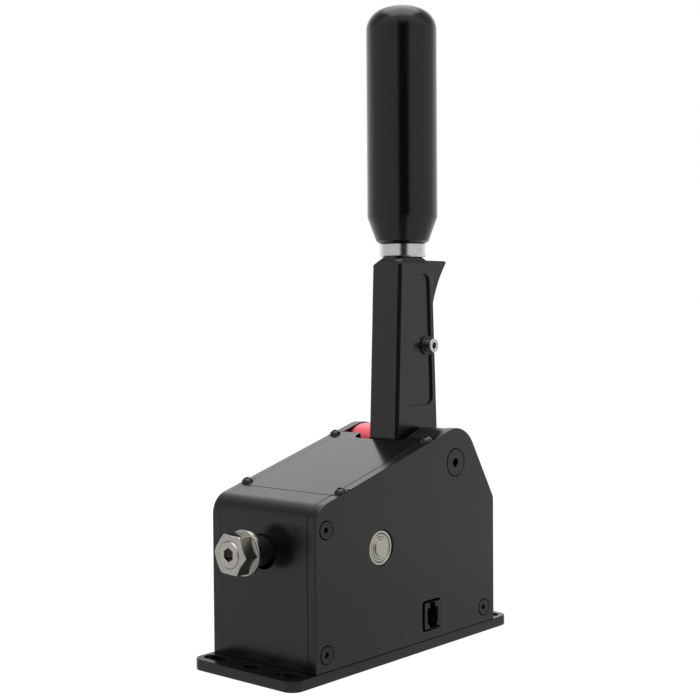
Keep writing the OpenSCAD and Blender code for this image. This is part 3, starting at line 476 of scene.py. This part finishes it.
# Bright nickel plate: sharp, slightly yellow reflections.
nickel_plated = turned_metal("bright_nickel_plate", "#b9b6ae", "#cac7bf", roughness=0.11, axis=X)
dress(["preload_nut"], nickel_plated, edge_mm=0.25)

# Lever pivot
# A hardened shaft across the housing, with a screw in each end and a spacer on each side.
# The lever turns on two ball bearings between the spacers; a notched ring locks it.

dress(["pivot_shaft", "lock_ring", "lever_bearing_inner_rings", "lever_bearing_outer_rings"], bearing_steel)
dress(["pivot_screws"], blackened_screw, edge_mm=0.35)
# Red anodised over turned aluminium: the metal shines through the dye, under a clear skin's own highlight.
red_anodised = turned_metal(
    "red_anodised_aluminium", "#c64552", "#d8525e", roughness=0.38, axis=Y, line_mm=0.6
)
plug(red_anodised.node_tree, shader_of(red_anodised), {"Coat Weight": 0.6, "Coat Roughness": 0.12})
dress(["left_pivot_spacer"], red_anodised, edge_mm=0.35)
dress(["right_pivot_spacer"], black_blasted, edge_mm=0.35)

# Lever stem
# The lever's lower half, milled from one aluminium bar: boss, fork, and a tapered stem with cut corners.
# A shallow pocket is milled into each side, and a slot behind takes the lock trigger.

# Black anodised over fine milling: black, with clearer reflections than on the plates.
black_anodised_stem = anodised("black_anodised_stem", "#0b0b0c", "#0f0f10", roughness=0.22, shine=0.62)
dress(["lever_stem"], black_anodised_stem, edge_mm=0.12)
dress(["clevis_pin", "clevis_pin_clips"], bearing_steel)
dress(["sensor_magnet"], nickel_plated)

# Lock trigger
# A blade with a finger fin, on a bright cap screw through the stem, that drops a rod into the lock ring.
# A small coil spring in the stem pushes it back.

dress(["lock_trigger"], black_anodised_stem, edge_mm=0.5)
# Bright zinc plate: a white metal glint, round a socket that painted shade makes dark.
bright_zinc = turned_metal("bright_zinc", "#d0d0ce", "#e4e4e1", roughness=0.2, axis=Y)
screw_low, screw_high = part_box("trigger_screw")
screw_face = np.array((screw_low + screw_high) / 2)
screw_face[Y] = screw_low.y
screw_key_radius = 1.6 * mm
# Painted shade in the screw's hex socket: it takes a darker colour there.
bright_screw = shaded_socket(
    bright_zinc, "bright_zinc_shaded_socket", screw_face, (0.0, 1.0, 0.0), screw_key_radius, socket_shade_colour="#6a6863"
)
dress(["trigger_screw"], bright_screw, edge_mm=0.3)
dress(["lock_rod"], bearing_steel)
stem_low, stem_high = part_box("trigger_spring")
trigger_spring_middle = (stem_low + stem_high) / 2
trigger_spring = coil(
    "trigger_spring_coil",
    (stem_low.x, 0.0, trigger_spring_middle.z),
    (stem_high.x, 0.0, trigger_spring_middle.z),
    mean_radius=1.7 * mm,
    wire_radius=0.3 * mm,
    turns=3,
)
trigger_spring.data.materials.append(spring_wire)
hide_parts("trigger_spring")
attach(trigger_spring, "lever")
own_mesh(trigger_spring)

# Grip
# A long round handle, turned from aluminium and anodised to a smooth deep black.
# It screws onto a stud in the stem, with a polished steel collar between them.

# Polished steel: near-white bands where it mirrors the lights.
polished_steel = turned_metal("polished_steel", "#d6d5d3", "#e2e1df", roughness=0.15, axis=Z)
dress(["handle_collar"], polished_steel)
dress(["handle_stud"], turned_steel)
# Smooth black anodised: deep black, with a sharp dark stripe between two long highlights.
black_grip = anodised("smooth_black_anodised_grip", "#050506", "#080809", roughness=0.14)
dress(["handle_grip"], black_grip)

# Top cover
# A bent sheet of 3 mm aluminium that closes the slope, with four ears let into the side plates.
# Button-head screws hold the ears; the cut-out behind leaves room for the lever.

# Black anodised over rolled sheet: black, with smoother reflections than on the milled plates.
black_anodised_cover = anodised("black_anodised_cover", "#060607", "#09090a", roughness=0.17)
dress(["top_cover"], black_anodised_cover, edge_mm=0.15)
# Black oxide over polished heads: small bright glints on black domes.
polished_black_screw = blackened_steel("polished_black_screw_steel", "#050506", "#0a0a0b", roughness=0.13)
dress(["cover_screws"], polished_black_screw)

# Floor
# A wide pale sheet that the part stands on. The camera sees it nearly white, with a soft shadow.
# Mirrored in the part it glows one grey near the part, a painted shadow, and further out it has the levels
# of the studio.

to_camera = (-0.756, -0.654, 0.0)
to_right = (0.654, -0.756, 0.0)


def studio_ring(tree, way):
    """Level of the studio by compass angle, from the side where the picture is taken:
    two wide soft lights left and right of it, a dark gap between them, and a white wall behind the part."""
    front = add(tree, "ShaderNodeVectorMath", {0: way, 1: to_camera}, operation="DOT_PRODUCT")
    right = add(tree, "ShaderNodeVectorMath", {0: way, 1: to_right}, operation="DOT_PRODUCT")
    turn = {0: right.outputs["Value"], 1: front.outputs["Value"]}
    angle = add(tree, "ShaderNodeMath", turn, operation="ARCTAN2").outputs[0]
    whole = {"Value": angle, "From Min": -math.pi, "From Max": math.pi}
    share = add(tree, "ShaderNodeMapRange", whole).outputs["Result"]
    ring = add(tree, "ShaderNodeValToRGB", {"Fac": share})
    levels = [
        (-180, 1.0), (-140, 1.0), (-105, 0.6), (-20, 0.6), (-8, 0.03),
        (15, 0.03), (28, 0.66), (105, 0.66), (140, 1.0),
    ]
    stops = ring.color_ramp.elements
    while len(stops) > 1:
        stops.remove(stops[0])
    for number, (degrees, level) in enumerate(levels):
        stop = stops[0] if number == 0 else stops.new(degrees / 360 + 0.5)
        stop.position = degrees / 360 + 0.5
        stop.color = (level, level, level, 1.0)
    return ring.outputs["Color"]


far = 30.0
floor_corners = [(-far, -far, 0.0), (far, -far, 0.0), (far, far, 0.0), (-far, far, 0.0)]
floor_mesh = bpy.data.meshes.new("floor")
floor_mesh.from_pydata(floor_corners, [], [(0, 1, 2, 3)])
floor = bpy.data.objects.new("floor", floor_mesh)
bpy.context.scene.collection.objects.link(floor)
# Pale matt sheet: a camera ray sees mostly an even white, and a mirrored ray the studio's levels.
pale_floor = bpy.data.materials.new("pale_floor")
pale_floor.use_nodes = True
floor_tree = pale_floor.node_tree
floor_tree.nodes.clear()
floor_ray = add(floor_tree, "ShaderNodeLightPath").outputs
floor_matt = add(floor_tree, "ShaderNodeBsdfDiffuse", {"Color": (0.8, 0.8, 0.8, 1.0)}).outputs[0]
floor_white = add(floor_tree, "ShaderNodeEmission", {"Strength": 1.09}).outputs[0]
white_share = 0.86
white_rays = {0: floor_ray["Is Camera Ray"], 1: white_share}
white_seen = add(floor_tree, "ShaderNodeMath", white_rays, operation="MULTIPLY").outputs[0]
floor_seen = add(floor_tree, "ShaderNodeMixShader", {0: white_seen, 1: floor_matt, 2: floor_white})
floor_place = add(floor_tree, "ShaderNodeTexCoord").outputs["Object"]
floor_radius = add(floor_tree, "ShaderNodeVectorMath", {0: floor_place}, operation="LENGTH")
near_part, clear_of_part = 0.12, 0.3
leaving = {"Value": floor_radius.outputs["Value"], "From Min": near_part, "From Max": clear_of_part}
apart = add(floor_tree, "ShaderNodeMapRange", leaving).outputs["Result"]
# Painted shadow: near the part the floor glows this grey for mirrored rays, in place of its shade.
shadowed = (0.56, 0.56, 0.56, 1.0)
floor_levels = {"Factor": apart, 6: shadowed, 7: studio_ring(floor_tree, floor_place)}
floor_tone = add(floor_tree, "ShaderNodeMix", floor_levels, data_type="RGBA").outputs[2]
floor_mirror = add(floor_tree, "ShaderNodeEmission", {"Color": floor_tone})
mirror_rays = {0: floor_ray["Is Glossy Ray"], 1: floor_ray["Is Transmission Ray"]}
mirrored = add(floor_tree, "ShaderNodeMath", mirror_rays, operation="MAXIMUM").outputs[0]
floor_looks = {0: mirrored, 1: floor_seen.outputs[0], 2: floor_mirror.outputs[0]}
floor_look = add(floor_tree, "ShaderNodeMixShader", floor_looks)
add(floor_tree, "ShaderNodeOutputMaterial", {"Surface": floor_look.outputs[0]})
floor_mesh.materials.append(pale_floor)

# Camera
# It stands in front of the part and to its right, a little above the housing, with a long lens.

yaw, pitch, roll = math.radians(40.87), math.radians(-2.08), math.radians(-0.422)
ahead = np.array([math.cos(yaw) * math.cos(pitch), math.sin(yaw) * math.cos(pitch), math.sin(pitch)])
level_right = np.array([math.sin(yaw), -math.cos(yaw), 0.0])
level_up = np.cross(level_right, ahead)
right = math.cos(roll) * level_right + math.sin(roll) * level_up
up = math.cos(roll) * level_up - math.sin(roll) * level_right
camera_place = (-0.4840, -0.4138, 0.1663)
lens = bpy.data.cameras.new("camera")
lens.sensor_width = 36.0
lens.lens = 68.0
camera = bpy.data.objects.new("camera", lens)
pose = np.eye(4)
pose[:3, 0], pose[:3, 1], pose[:3, 2], pose[:3, 3] = right, up, -ahead, camera_place
camera.matrix_world = Matrix(pose.tolist())
bpy.context.scene.collection.objects.link(camera)
bpy.context.scene.camera = camera

# Studio light
# Two wide soft lights stand left and right of the camera, a long soft box hangs overhead,
# and the wall behind is white. The gap between the lights draws a dark line down every round piece.

world = bpy.data.worlds.new("studio")
bpy.context.scene.world = world
world.use_nodes = True
studio = world.node_tree
studio.nodes.clear()
white = (1.0, 1.0, 1.0, 1.0)
way = add(studio, "ShaderNodeTexCoord").outputs["Generated"]
height = add(studio, "ShaderNodeSeparateXYZ", {"Vector": way}).outputs["Z"]
forward = add(studio, "ShaderNodeVectorMath", {0: way, 1: to_camera}, operation="DOT_PRODUCT")
sideways = add(studio, "ShaderNodeVectorMath", {0: way, 1: to_right}, operation="DOT_PRODUCT")
aside = add(studio, "ShaderNodeMath", {0: sideways.outputs["Value"]}, operation="ABSOLUTE").outputs[0]
# Further up the walls are brighter, and an even grey closes the gap between the lights.
brightening = {"Value": height, "From Min": 0.25, "From Max": 0.5, "To Min": 1.0, "To Max": 1.4}
strength = add(studio, "ShaderNodeMapRange", brightening).outputs["Result"]
closing = {"Value": height, "From Min": 0.25, "From Max": 0.62, "To Max": 0.62}
fill = add(studio, "ShaderNodeMapRange", closing).outputs["Result"]
compass = studio_ring(studio, way)
lit = add(studio, "ShaderNodeVectorMath", {0: compass, 1: fill}, operation="MAXIMUM").outputs[0]
# High on both sides it is dimmer, which darkens the rounded front of the housing and the mirrored stem.
dim_way = (-0.28, 0.65, 0.706)
folded = add(studio, "ShaderNodeCombineXYZ", {"X": forward.outputs["Value"], "Y": aside, "Z": height})
nearness = add(studio, "ShaderNodeVectorMath", {0: folded.outputs[0], 1: dim_way}, operation="DOT_PRODUCT")
dimming = {
    "Value": nearness.outputs["Value"], "From Min": 0.8, "From Max": 0.93, "To Min": 1.0, "To Max": 0.4,
}
dimmed = add(studio, "ShaderNodeMapRange", dimming).outputs["Result"]
wall_level = add(studio, "ShaderNodeMath", {0: strength, 1: dimmed}, operation="MULTIPLY").outputs[0]
walls = add(studio, "ShaderNodeBackground", {"Color": lit, "Strength": wall_level})
# The soft box overhead ends short of the camera's side, and its edges are soft.
soft_box = add(studio, "ShaderNodeBackground", {"Color": white, "Strength": 2.6})
box_edges = [
    {"Value": height, "From Min": 0.74, "From Max": 0.84},
    {"Value": aside, "From Min": 0.58, "From Max": 0.4},
    {"Value": forward.outputs["Value"], "From Min": 0.6, "From Max": 0.4},
]
overhead = 1.0
for box_edge in box_edges:
    within = add(studio, "ShaderNodeMapRange", box_edge).outputs["Result"]
    overhead = add(studio, "ShaderNodeMath", {0: overhead, 1: within}, operation="MULTIPLY").outputs[0]
light = add(studio, "ShaderNodeMixShader", {0: overhead, 1: walls.outputs[0], 2: soft_box.outputs[0]})
# The camera itself sees plain white behind the part.
backdrop = add(studio, "ShaderNodeBackground", {"Color": white})
camera_ray = add(studio, "ShaderNodeLightPath").outputs["Is Camera Ray"]
studio_looks = {0: camera_ray, 1: light.outputs[0], 2: backdrop.outputs[0]}
studio_look = add(studio, "ShaderNodeMixShader", studio_looks)
add(studio, "ShaderNodeOutputWorld", {"Surface": studio_look.outputs[0]})
bpy.context.scene.view_settings.view_transform = "Standard"
